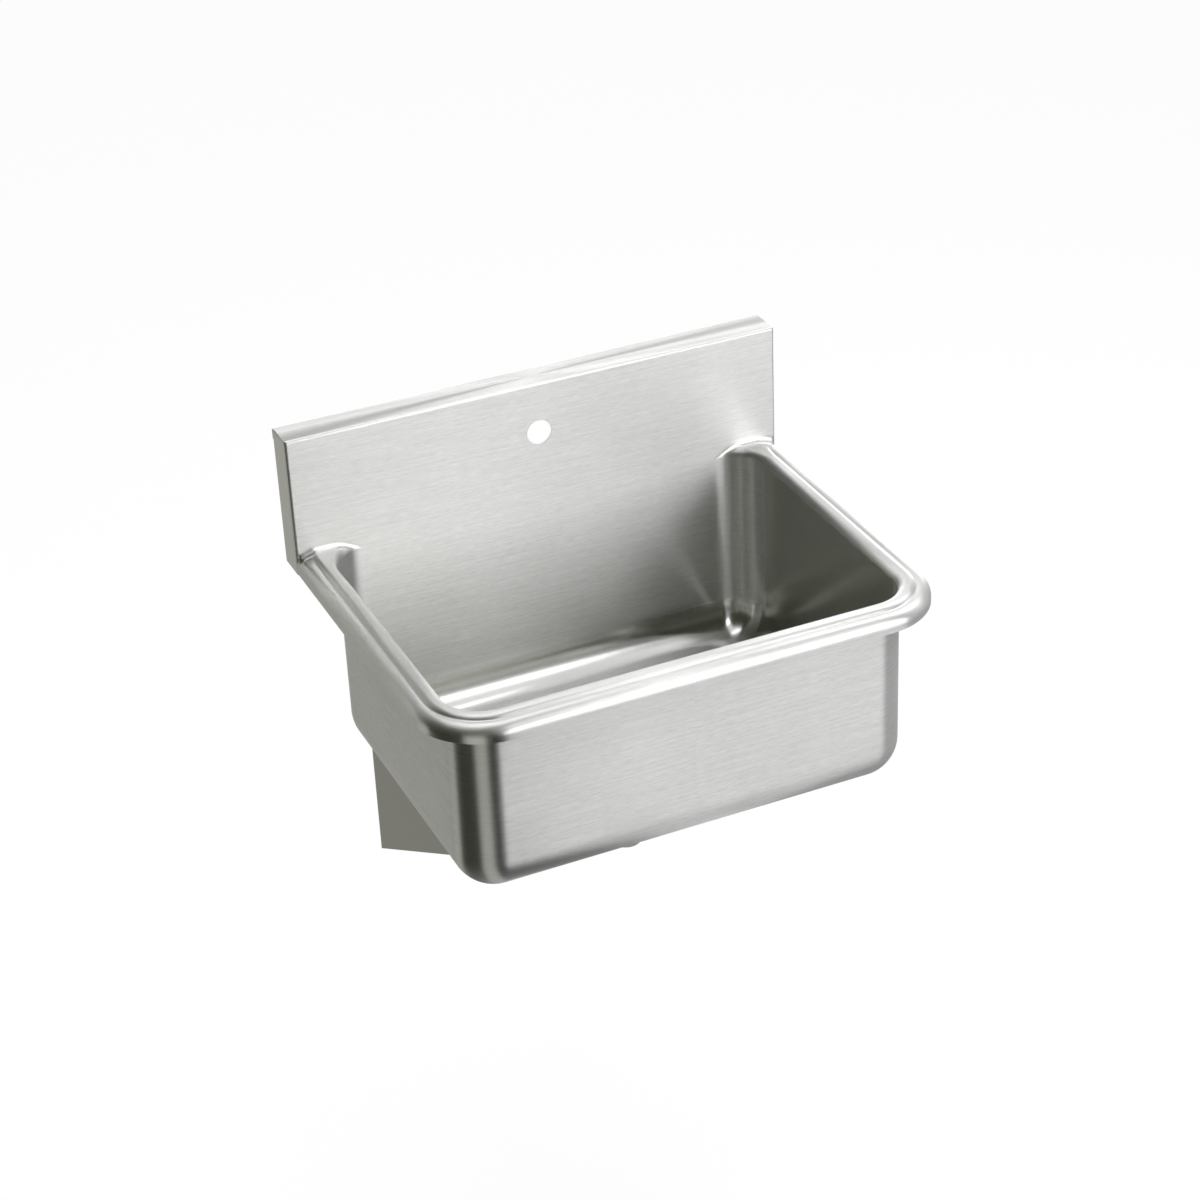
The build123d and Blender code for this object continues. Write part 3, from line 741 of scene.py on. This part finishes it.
def makeBacksplash():
    # section carried along X; towards its end each row bends in by its end radius; a round patch leaves the
    # tap hole
    section, normals, endRadius = splashRows()
    half, columns, low = splash["patchHalf"], steps["patch"], steps["underHole"]
    high = low + 2 * columns
    share = np.linspace(0, 1, steps["besideHole"] + 1)
    turn = np.unique(endTurn[endTurn > 0]) * math.pi / 2
    inner = np.linspace(0, half, columns + 1)[:-1]
    straight = half + (halfWidth - endRadius - half) * np.concatenate([share, np.ones(len(turn))])
    bendTurn = np.concatenate([0 * share, turn])
    x = np.concatenate([
        np.broadcast_to(inner, (len(section), columns)), straight + endRadius * np.sin(bendTurn)
    ], 1)
    bendTurn = np.concatenate([0 * inner, bendTurn])
    inset = endRadius * (1 - np.cos(bendTurn))
    plan = section[:, None] - inset[..., None] * normals[:, None]
    points = pointsOf(x, plan[..., 0], plan[..., 1])
    across = rimTop - rim["mouthRadius"] - section[0, 1] - runLength(section)
    polish = splash["foldPolish"] * smoothShare(np.abs(normals[:, 1]) * np.abs(normals[:, 0]), 0.0, 0.3)
    whole = patch(points, x, across[:, None], polish[:, None])
    parts = (np.s_[:, columns:], np.s_[:low + 1, :columns + 1], np.s_[high:, :columns + 1])
    patches = [{key: value[part] for key, value in whole.items()} for part in parts]
    patches.append(tapHolePatch(points, low, high, columns))
    thicken(place(meshFrom("backsplash_shell", bothSides(patches), (0, -1, 1)), "sheet", "backsplash_panel"))


def tapHolePatch(points, low, high, columns):
    # straight lines from the square's edge to the hole's circle, whose lip is a small quarter round
    square = np.concatenate([
        points[low, :columns + 1], points[low + 1:high, columns], points[high, :columns + 1][::-1]
    ])
    centre = np.array([0.0, splashFront, rimTop + splash["holeRise"]])
    direction = square - centre
    direction /= np.linalg.norm(direction, axis=1)[:, None]
    edge = splash["holeEdge"]
    ring = centre + (splash["holeRadius"] + edge) * direction
    flat = square + (ring - square) * np.linspace(0, 1, 6)[:, None, None]
    turn = np.radians(np.linspace(0, 90, 5)[1:])[:, None, None]
    lip = centre + (splash["holeRadius"] + edge * (1 - np.sin(turn))) * direction
    grid = np.concatenate([flat, lip + edge * (1 - np.cos(turn)) * [0.0, 1.0, 0.0]])
    return patch(grid, grid[..., 0], rimTop - rim["mouthRadius"] - grid[..., 2], 0.0)


makeBacksplash()
print("stage: backsplash")


def dressedCopy(node, name, edgeWidth, finish):
    # the CAD node's own shape, its triangles joined into plain faces, with small rounded edges
    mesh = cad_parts[node].data.copy()
    mesh.name = name
    welded = bmesh.new()
    welded.from_mesh(mesh)
    bmesh.ops.remove_doubles(welded, verts=welded.verts, dist=0.002 * mm)
    bmesh.ops.dissolve_limit(
        welded, angle_limit=math.radians(0.3), verts=welded.verts, edges=welded.edges,
        use_dissolve_boundaries=False
    )
    smoothInto(mesh, welded)
    mesh.set_sharp_from_angle(angle=math.radians(32))
    rounding = place(mesh, finish, node).modifiers.new("edges", "BEVEL")
    rounding.width = edgeWidth
    rounding.segments = 3
    rounding.limit_method = "ANGLE"
    rounding.angle_limit = math.radians(40)
    rounding.harden_normals = True


for side in ("left", "right"):
    dressedCopy(f"end_cap_{side}", f"end_cap_{side}_shell", 0.7 * mm, "cap")
    dressedCopy(f"support_bracket_{side}", f"bracket_{side}_plate", 0.5 * mm, "bracket")
dressedCopy("wall_hanger", "wall_hanger_strip", 0.35 * mm, "bracket")
dressedCopy("drain_grid", "drain_grid_plate", 0.2 * mm, "drain")
print("stage: plates")


def rounded(corners, radius, closed=True):
    # a polygon whose corners become quadratic curves: (1-t)^2 a + 2t(1-t) corner + t^2 b, with a and b
    # radius away
    corners = np.asarray(corners, float)
    back, ahead = np.roll(corners, 1, 0) - corners, np.roll(corners, -1, 0) - corners
    backLength, aheadLength = np.linalg.norm(back, axis=1), np.linalg.norm(ahead, axis=1)
    reach = np.minimum(radius, 0.45 * np.minimum(backLength, aheadLength))
    if not closed:
        reach[[0, -1]] = 0
    share = np.linspace(0, 1, 4)[:, None]
    corner = corners[:, None]
    start = corner + (back * (reach / backLength)[:, None])[:, None]
    end = corner + (ahead * (reach / aheadLength)[:, None])[:, None]
    points = ((1 - share) ** 2 * start + 2 * share * (1 - share) * corner + share**2 * end).reshape(-1, 2)
    return np.concatenate([points, points[:1]]) if closed else points


def turned(radius, height, middle, around=72):
    # points at (radius cos, radius sin, height) about an upright axis; radius may change with the angle
    angle = np.linspace(0, 2 * np.pi, around + 1)
    radius, height = np.atleast_2d(radius.T).T, np.atleast_2d(height.T).T
    points = pointsOf(middle[0] + radius * np.cos(angle), middle[1] + radius * np.sin(angle), height)
    return patch(points, angle, height, 1.0)


def threaded(radius, low, high, pitch, depth, middle, around):
    # screw surface: radius less half the depth times (1 - cosine of height over pitch less the angle),
    # faded at the ends
    height = np.linspace(high, low, int(8 * (high - low) / pitch) + 1)[:, None]
    angle = np.linspace(0, 2 * np.pi, around + 1)
    fade = smoothShare(height, low, low + pitch) * (1 - smoothShare(height, high - pitch, high))
    wave = 0.5 - 0.5 * np.cos(2 * np.pi * height / pitch - angle)
    return turned(radius - depth * fade * wave, height, middle, around)


def threadedRod(radius, low, high, pitch, depth, middle, around=32):
    # a screw surface between two flat ends, whose rims shade as chamfers
    rings = np.array([0, radius - depth, radius])
    ends = [turned(rings, np.full(3, end), middle, around) for end in (high, low)]
    return [threaded(radius, low, high, pitch, depth, middle, around), *ends]


nutShape = {"face": 0.47, "chamfer": 0.105, "slope": 1.9, "lip": 0.04}  # shares of the width over the flats


def hexNut(flats, bore, low, high, middle, around=96):
    # six flats: radius is half the flats over the largest cosine to a flat, cut by a cone at both faces
    angle = np.linspace(0, 2 * np.pi, around + 1)
    nearest = np.maximum.reduce([np.cos(angle - side) for side in np.arange(6) * np.pi / 3])
    away = nutShape["chamfer"] * flats * eased(5)
    height = np.concatenate([[high, high], high - away[1:], low + away[::-1][:-1], [low, low]])
    inset = np.concatenate([[0, 0], away[1:], away[::-1][:-1], [0, 0]])[:, None]
    radius = np.minimum(flats / 2 / nearest, nutShape["face"] * flats + inset * nutShape["slope"])
    lip = nutShape["lip"] * flats
    radius[[0, -1]] = bore + lip
    inside = np.array([bore + lip, bore, bore, bore + lip])
    return [
        turned(radius, height, middle, around),
        turned(inside, np.array([high, high - lip, low + lip, low]), middle, around),
    ]


def closedMesh(name, patches, sharpAngle=32):
    # a closed piece has no side to choose, only edges that stay crisp above an angle
    mesh = meshFrom(name, patches)
    mesh.set_sharp_from_angle(angle=math.radians(sharpAngle))
    return mesh


def ringOf(node, inner, edge, name, finish, bulge=0.0):
    # a flat ring between the node's own faces, its outer side a little bulged
    low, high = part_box(node)
    outer = high.x
    section = rounded([
        (inner, high.z), (outer - bulge, high.z), (outer, (low.z + high.z) / 2), (outer - bulge, low.z),
        (inner, low.z)
    ], edge)
    place(closedMesh(name, [turned(*section.T, (0, (low.y + high.y) / 2))]), finish, node)


fastening = {
    "studRadius": 4.0 * mm, "threadPitch": 1.25 * mm, "threadDepth": 0.7 * mm,
    "flats": 13.0 * mm, "washerGap": 0.3 * mm, "washerEdge": 0.35 * mm,
}


def makeFastenings():
    # stud, washer and nut at each of the four places, read from the corners of their CAD nodes
    low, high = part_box("bracket_studs")
    washerLow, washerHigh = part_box("bracket_washers")
    nutLow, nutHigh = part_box("bracket_nuts")
    radius = fastening["studRadius"]
    inner, outer = radius + fastening["washerGap"], washerHigh.x - (high.x - radius)
    section = rounded([
        (inner, washerHigh.z), (outer, washerHigh.z), (outer, washerLow.z), (inner, washerLow.z)
    ], fastening["washerEdge"])
    studs, washers, nuts = [], [], []
    for x in (low.x + radius, high.x - radius):
        for y in (low.y + radius, high.y - radius):
            studs += threadedRod(
                radius, low.z, high.z, fastening["threadPitch"], fastening["threadDepth"], (x, y)
            )
            washers.append(turned(*section.T, (x, y)))
            nuts += hexNut(fastening["flats"], radius, nutLow.z, nutHigh.z, (x, y))
    place(closedMesh("studs", studs, 50), "fastener", "bracket_studs")
    place(closedMesh("stud_washers", washers), "fastener", "bracket_washers")
    place(closedMesh("stud_nuts", nuts, 28), "fastener", "bracket_nuts")


drain = {
    "flangeThickness": 2.2 * mm, "bodyRadius": 23.5 * mm, "boreRadius": 20.5 * mm, "flangeRadius": 34.0 * mm,
    "seatRadius": 29.2 * mm, "gridThickness": 1.2 * mm, "bridgeWidth": 6.0 * mm, "bridgeDepth": 5.0 * mm,
    "threadPitch": 2.2 * mm, "threadDepth": 0.9 * mm, "plainTop": 3.0 * mm, "plainFoot": 1.0 * mm,
    "edge": 0.5 * mm,
}
drainMiddle = (0, middleY)


def makeDrainBody():
    # flange with the grid's seat, threaded tube and the bridge that holds the grid's screw
    low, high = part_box("drain_body")
    body, bore, flange = drain["bodyRadius"], drain["boreRadius"], drain["flangeRadius"]
    underFlange, seat = high.z - drain["flangeThickness"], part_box("drain_grid")[1].z - drain["gridThickness"]
    threadTop, threadLow = underFlange - drain["plainTop"], low.z + drain["plainFoot"]
    upper = rounded([
        (bore, threadLow), (bore, seat), (drain["seatRadius"], seat), (drain["seatRadius"], high.z),
        (flange - 1.2 * mm, high.z), (flange, underFlange + 0.6 * mm),
        (flange, underFlange), (body, underFlange), (body, threadTop),
    ], drain["edge"], closed=False)
    lower = rounded(
        [(body, threadLow), (body, low.z), (bore, low.z), (bore, threadLow)], drain["edge"], closed=False
    )
    thread = threaded(body, threadLow, threadTop, drain["threadPitch"], drain["threadDepth"], drainMiddle, 72)
    width, foot = drain["bridgeWidth"] / 2, seat - drain["bridgeDepth"]
    across, height = rounded([(-width, seat), (width, seat), (width, foot), (-width, foot)], drain["edge"]).T
    reach = np.linspace(-1, 1, 3)[:, None] * (bore + body) / 2
    bridge = patch(pointsOf(across, middleY + reach, height), reach, across, 1.0)
    patches = [turned(*upper.T, drainMiddle), turned(*lower.T, drainMiddle), thread, bridge]
    place(closedMesh("drain_strainer", patches, 40), "drain", "drain_body")


gridScrew = {
    "shank": 2.5 * mm, "headHeight": 1.6 * mm, "threadPitch": 0.8 * mm, "threadDepth": 0.45 * mm,
    "crossDepth": 0.7 * mm, "crossWidth": (0.35 * mm, 0.65 * mm), "crossReach": (2.1 * mm, 2.6 * mm),
}


def makeGridScrew():
    # domed head, its height falling with the radius's fourth power, with a cross recess over a threaded shank
    low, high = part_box("grid_screw")
    headRadius, shank, foot = high.x, gridScrew["shank"], high.z - gridScrew["headHeight"]
    radius = (headRadius * np.sin(np.linspace(0, np.pi / 2, 22)))[:, None]
    angle = np.linspace(0, 2 * np.pi, 73)
    x, y = radius * np.cos(angle), radius * np.sin(angle)
    dome = gridScrew["headHeight"] * (1 - (radius / headRadius) ** 4)
    arm, reach = np.minimum(np.abs(x), np.abs(y)), np.maximum(np.abs(x), np.abs(y))
    cross = 1 - smoothShare(arm, *gridScrew["crossWidth"])
    cross = cross * (1 - smoothShare(reach, *gridScrew["crossReach"]))
    head = patch(pointsOf(x, middleY + y, foot + dome - gridScrew["crossDepth"] * cross), angle, radius, 1.0)
    under = turned(np.array([headRadius, shank]), np.array([foot, foot]), drainMiddle)
    rod = threadedRod(shank, low.z, foot, gridScrew["threadPitch"], gridScrew["threadDepth"], drainMiddle, 72)
    place(closedMesh("grid_screw_cross", [head, under, *rod], 50), "fastener", "grid_screw")


tail = {"radius": 19.05 * mm, "wall": 1.2 * mm, "flange": 1.5 * mm, "edge": 0.5 * mm}


def makeTailpiece():
    # thin tube with a flange above, its ends a little rounded
    low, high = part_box("tailpiece")
    outer, inner, flange = tail["radius"], tail["radius"] - tail["wall"], high.z - tail["flange"]
    section = rounded([
        (inner, high.z), (high.x, high.z), (high.x, flange), (outer, flange), (outer, low.z), (inner, low.z)
    ], tail["edge"])
    place(closedMesh("tail_tube", [turned(*section.T, drainMiddle, 96)], 40), "chrome", "tailpiece")


nuts = {
    "lockFlats": 62.0 * mm, "couplingFlats": 56.0 * mm,
    "lip": 3.0 * mm, "lipBore": 19.35 * mm, "mouth": 2.0 * mm, "edge": 0.5 * mm,
}


def makeDrainNuts():
    # a locknut, and a coupling nut whose bore closes to a lip at its foot
    bore = drain["bodyRadius"]
    low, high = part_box("drain_locknut")
    nut = hexNut(nuts["lockFlats"], bore, low.z, high.z, drainMiddle, 144)
    place(closedMesh("drain_clamp_nut", nut, 28), "chrome", "drain_locknut")
    low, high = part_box("coupling_nut")
    outside = hexNut(nuts["couplingFlats"], bore, low.z, high.z, drainMiddle, 144)[0]
    wide, lip = bore + nutShape["lip"] * nuts["couplingFlats"], low.z + nuts["lip"]
    inside = rounded([
        (wide, high.z), (bore, high.z - nuts["mouth"]), (bore, lip), (nuts["lipBore"], lip),
        (nuts["lipBore"], low.z), (wide, low.z),
    ], nuts["edge"], closed=False)
    patches = [outside, turned(*inside.T, drainMiddle, 144)]
    place(closedMesh("coupling_slip_nut", patches, 28), "chrome", "coupling_nut")


soundPad = {"length": 200.0 * mm, "width": 110.0 * mm, "corner": 6.0 * mm, "edge": 0.9 * mm, "sag": 0.25 * mm}


def makePads():
    # rounded rectangle drawn in by the edge's quarter round, its lower face a little uneven as pressed on
    # by hand: half of one plus a sine along x times a sine along y
    low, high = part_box("sound_pads")
    corner, edge, half = soundPad["corner"], soundPad["edge"], soundPad["width"] / 2
    turn = np.radians(np.arange(0, 360, 90)[:, None] + np.linspace(0, 90, 7)).ravel()
    signX, signY = np.repeat([[1, -1, -1, 1], [1, 1, -1, -1]], 7, 1)
    outline = pointsOf(
        (half - corner) * signX + corner * np.cos(turn),
        (soundPad["length"] / 2 - corner) * signY + corner * np.sin(turn),
    )
    outline = np.concatenate([outline, outline[:1]])
    rise = np.radians(np.linspace(0, 90, 5))
    inset = np.concatenate([[0], edge * (1 - np.cos(rise)), np.zeros(8)])[:, None, None]
    shrink = np.concatenate([np.ones(6), 1 - np.linspace(0, 1, 9)[1:]])[:, None]
    height = np.concatenate([[high.z], low.z + edge * (1 - np.sin(rise)), np.full(8, low.z)])[:, None]
    x, y = (outline * shrink[..., None] * (1 - inset / half)).transpose(2, 0, 1)
    pads = []
    for middle in (low.x + half, high.x - half):
        uneven = 0.5 + 0.5 * np.sin(x * 190 + 1.3) * np.sin(y * 130 + middle * 9)
        sag = soundPad["sag"] * uneven * smoothShare(1 - shrink, 0, 0.3)
        points = pointsOf(middle + x, middleY + y, height + sag)
        top = np.stack([points[0], np.broadcast_to([middle, middleY, high.z], points[0].shape)])
        pads += [patch(points, x, y, 0.0), patch(top, 0.0, 0.0, 0.0)]
    place(closedMesh("damping_pads", pads, 60), "pad", "sound_pads")


makeFastenings()
makeDrainBody()
makeGridScrew()
makeTailpiece()
makeDrainNuts()
makePads()
ringOf("drain_gasket", 23.8 * mm, 0.6 * mm, "gasket_ring", "rubber", 0.4 * mm)
ringOf("fibre_washer", 23.8 * mm, 0.2 * mm, "fibre_ring", "fibre")
ringOf("tailpiece_washer", 20.5 * mm, 0.4 * mm, "tail_seal", "rubber", 0.2 * mm)
print("stage: drain and fastenings")

cameraView = {
    "place": (-1.1714, -2.9451, 1.5498),
    "forward": (0.33959, 0.79429, -0.50377),
    "roll": -2.707,
    "lens": 87.48,
    "sensor": 36.0,
}


def makeCamera():
    # looks forward, level but for a small roll about its own axis
    lens = bpy.data.cameras.new("view")
    lens.lens = cameraView["lens"]
    lens.sensor_width = cameraView["sensor"]
    camera = bpy.data.objects.new("view", lens)
    bpy.context.scene.collection.objects.link(camera)
    forward = Vector(cameraView["forward"]).normalized()
    level = forward.cross(Vector((0, 0, 1))).normalized()
    roll = math.radians(cameraView["roll"])
    right = level * math.cos(roll) + level.cross(forward) * math.sin(roll)
    pose = Matrix((right, right.cross(forward), -forward)).transposed().to_4x4()
    pose.translation = Vector(cameraView["place"])
    camera.matrix_world = pose
    bpy.context.scene.camera = camera


makeCamera()

studio = {
    "target": (0.0, -0.25, -0.22),
    "rimOverFloor": 0.864,
    "floorSize": 30.0,
    "floorColour": opaque(0.86, 0.86, 0.855),
    "floorWhite": 0.8,           # share of plain white in what the camera sees; the rest is lit and shaded
    "floorInGloss": 0.34,        # brightness in the metal
    "skyInGloss": 0.8,
    "cardDistance": 2.8,
}
floorHeight = rimTop - studio["rimOverFloor"]
# Seen from the target; an azimuth of -90 is straight out from the wall and 0 is to the right.
lamps = {  # azimuth, elevation, distance; width and height; brightness, where 1 is white
    "frontSoftbox": ((-64.0, 14.0, 2.3), (1.9, 0.8), 4.15),
    "highSoftbox": ((-68.0, 53.0, 2.3), (0.9, 0.6), 2.3),
    "rearSoftbox": ((90.0, 74.0, 2.2), (1.4, 1.2), 1.65),
    "rightSoftbox": ((22.0, 48.0, 2.3), (1.5, 1.0), 1.8),
}
cards = {  # azimuths, elevations, brightness and blue in their white; only gloss sees them
    "cameraSide": ((150.0, 268.0), (0.0, 76.0), 0.035, 0.62),
    "leftRear": ((105.0, 150.0), (-60.0, 60.0), 0.38, 0.92),
    "leftLow": ((150.0, 170.0), (-60.0, 0.0), 0.56, 0.92),
    "rearLow": ((38.0, 105.0), (-8.0, 24.0), 2.1, 1.0),
    "rearHigh": ((38.0, 105.0), (24.0, 60.0), 0.7, 1.0),
    "right": ((-40.0, 38.0), (-8.0, 60.0), 0.58, 1.0),
    "frontLow": ((-80.0, -40.0), (-7.0, 7.0), 0.05, 0.9),
    "frontHigh": ((-92.0, -40.0), (22.0, 62.0), 0.22, 0.95),
    "rightLow": ((-39.0, 92.0), (-60.0, -8.0), 0.36, 1.0),
    "leftFlag": ((170.0, 218.0), (-50.0, 0.0), 0.05, 0.8),
    "leftFront": ((218.0, 244.0), (-50.0, 0.0), 0.66, 0.92),
    "frontFlag": ((244.0, 280.0), (-55.0, 0.0), 0.01, 0.8),
    "below": ((0.0, 360.0), (-90.0, -66.0), 0.5, 1.0),
}


def directionTo(azimuth, elevation):
    # unit vector: (cos a cos e, sin a cos e, sin e)
    azimuth, elevation = np.radians(azimuth), np.radians(elevation)
    return pointsOf(
        np.cos(azimuth) * np.cos(elevation), np.sin(azimuth) * np.cos(elevation), np.sin(elevation)
    )


def softbox(name, bearing, size, brightness):
    # a lamp of power p and area a has a face p / (pi a) bright
    data = bpy.data.lights.new(name, "AREA")
    data.shape = "RECTANGLE"
    data.size, data.size_y = size
    data.energy = brightness * math.pi * size[0] * size[1]
    lamp = bpy.data.objects.new(name, data)
    bpy.context.scene.collection.objects.link(lamp)
    away = Vector(directionTo(*bearing[:2]))
    lamp.location = Vector(studio["target"]) + away * bearing[2]
    lamp.rotation_euler = away.to_track_quat("Z", "Y").to_euler()


def stageSheet(name, points, faces, material):
    mesh = bpy.data.meshes.new(name)
    mesh.from_pydata(points, [], faces)
    mesh.materials.append(material)
    sheet = bpy.data.objects.new(name, mesh)
    bpy.context.scene.collection.objects.link(sheet)
    return sheet


def curvedCard(name, azimuths, elevations, brightness, blue):
    # part of a ball about the target, cut short where it would go under the floor: distance = gap / -sin e
    away = directionTo(np.linspace(*azimuths, 25), np.linspace(*elevations, 15)[:, None])
    gap = studio["target"][2] - floorHeight - 10 * mm
    reach = np.minimum(studio["cardDistance"], gap / np.maximum(-away[..., 2:], 1e-6))
    points = (studio["target"] + away * reach).reshape(-1, 3)
    graph = Graph(bpy.data.materials.new(name))
    glow = graph.node("ShaderNodeEmission", {}, {"Color": opaque(1, 1, blue), "Strength": brightness})
    card = stageSheet(name, points.tolist(), gridFaces(15, 25, 0).tolist(), graph.finish(glow))
    card.visible_camera = card.visible_diffuse = card.visible_shadow = card.visible_transmission = False


def makeFloor():
    # lit and partly plain white to the camera, of its own brightness in gloss, and clear from underneath
    half = studio["floorSize"] / 2
    corners = [(x * half, y * half, floorHeight) for x, y in ((-1, -1), (1, -1), (1, 1), (-1, 1))]
    graph = Graph(bpy.data.materials.new("studio_floor"))
    cameraRay, glossyRay = (
        graph.node("ShaderNodeLightPath", {}, {}, name) for name in ("Is Camera Ray", "Is Glossy Ray")
    )
    matt = graph.node("ShaderNodeBsdfDiffuse", {}, {"Color": studio["floorColour"]})
    white = graph.node("ShaderNodeEmission", {}, {"Color": opaque(1, 1, 1), "Strength": 1.0})
    gloss = graph.node(
        "ShaderNodeEmission", {}, {"Color": opaque(1, 1, 1), "Strength": studio["floorInGloss"]}
    )
    seen = graph.node("ShaderNodeMixShader", {}, {0: cameraRay * studio["floorWhite"], 1: matt, 2: white})
    above = graph.node("ShaderNodeMixShader", {}, {0: glossyRay, 1: seen, 2: gloss})
    clear = graph.node("ShaderNodeBsdfTransparent", {}, {})
    below = graph.node("ShaderNodeNewGeometry", {}, {}, "Backfacing")
    surface = graph.node("ShaderNodeMixShader", {}, {0: below, 1: above, 2: clear})
    stageSheet("floor", corners, [(0, 1, 2, 3)], graph.finish(surface))


def makeSky():
    # white, a little dimmer in gloss
    bpy.context.scene.world = bpy.data.worlds.new("sky")
    graph = Graph(bpy.context.scene.world)
    gloss = graph.node("ShaderNodeLightPath", {}, {}, "Is Glossy Ray")
    strength = gloss * (studio["skyInGloss"] - 1) + 1
    sky = graph.node("ShaderNodeBackground", {}, {"Color": opaque(1, 1, 1), "Strength": strength})
    graph.node("ShaderNodeOutputWorld", {}, {"Surface": sky})


makeFloor()
makeSky()
for name, settings in cards.items():
    curvedCard(name, *settings)
for name, settings in lamps.items():
    softbox(name, *settings)
print("stage: studio", len(cards), "cards", len(lamps), "lamps")

bpy.context.scene.view_settings.view_transform = "Standard"
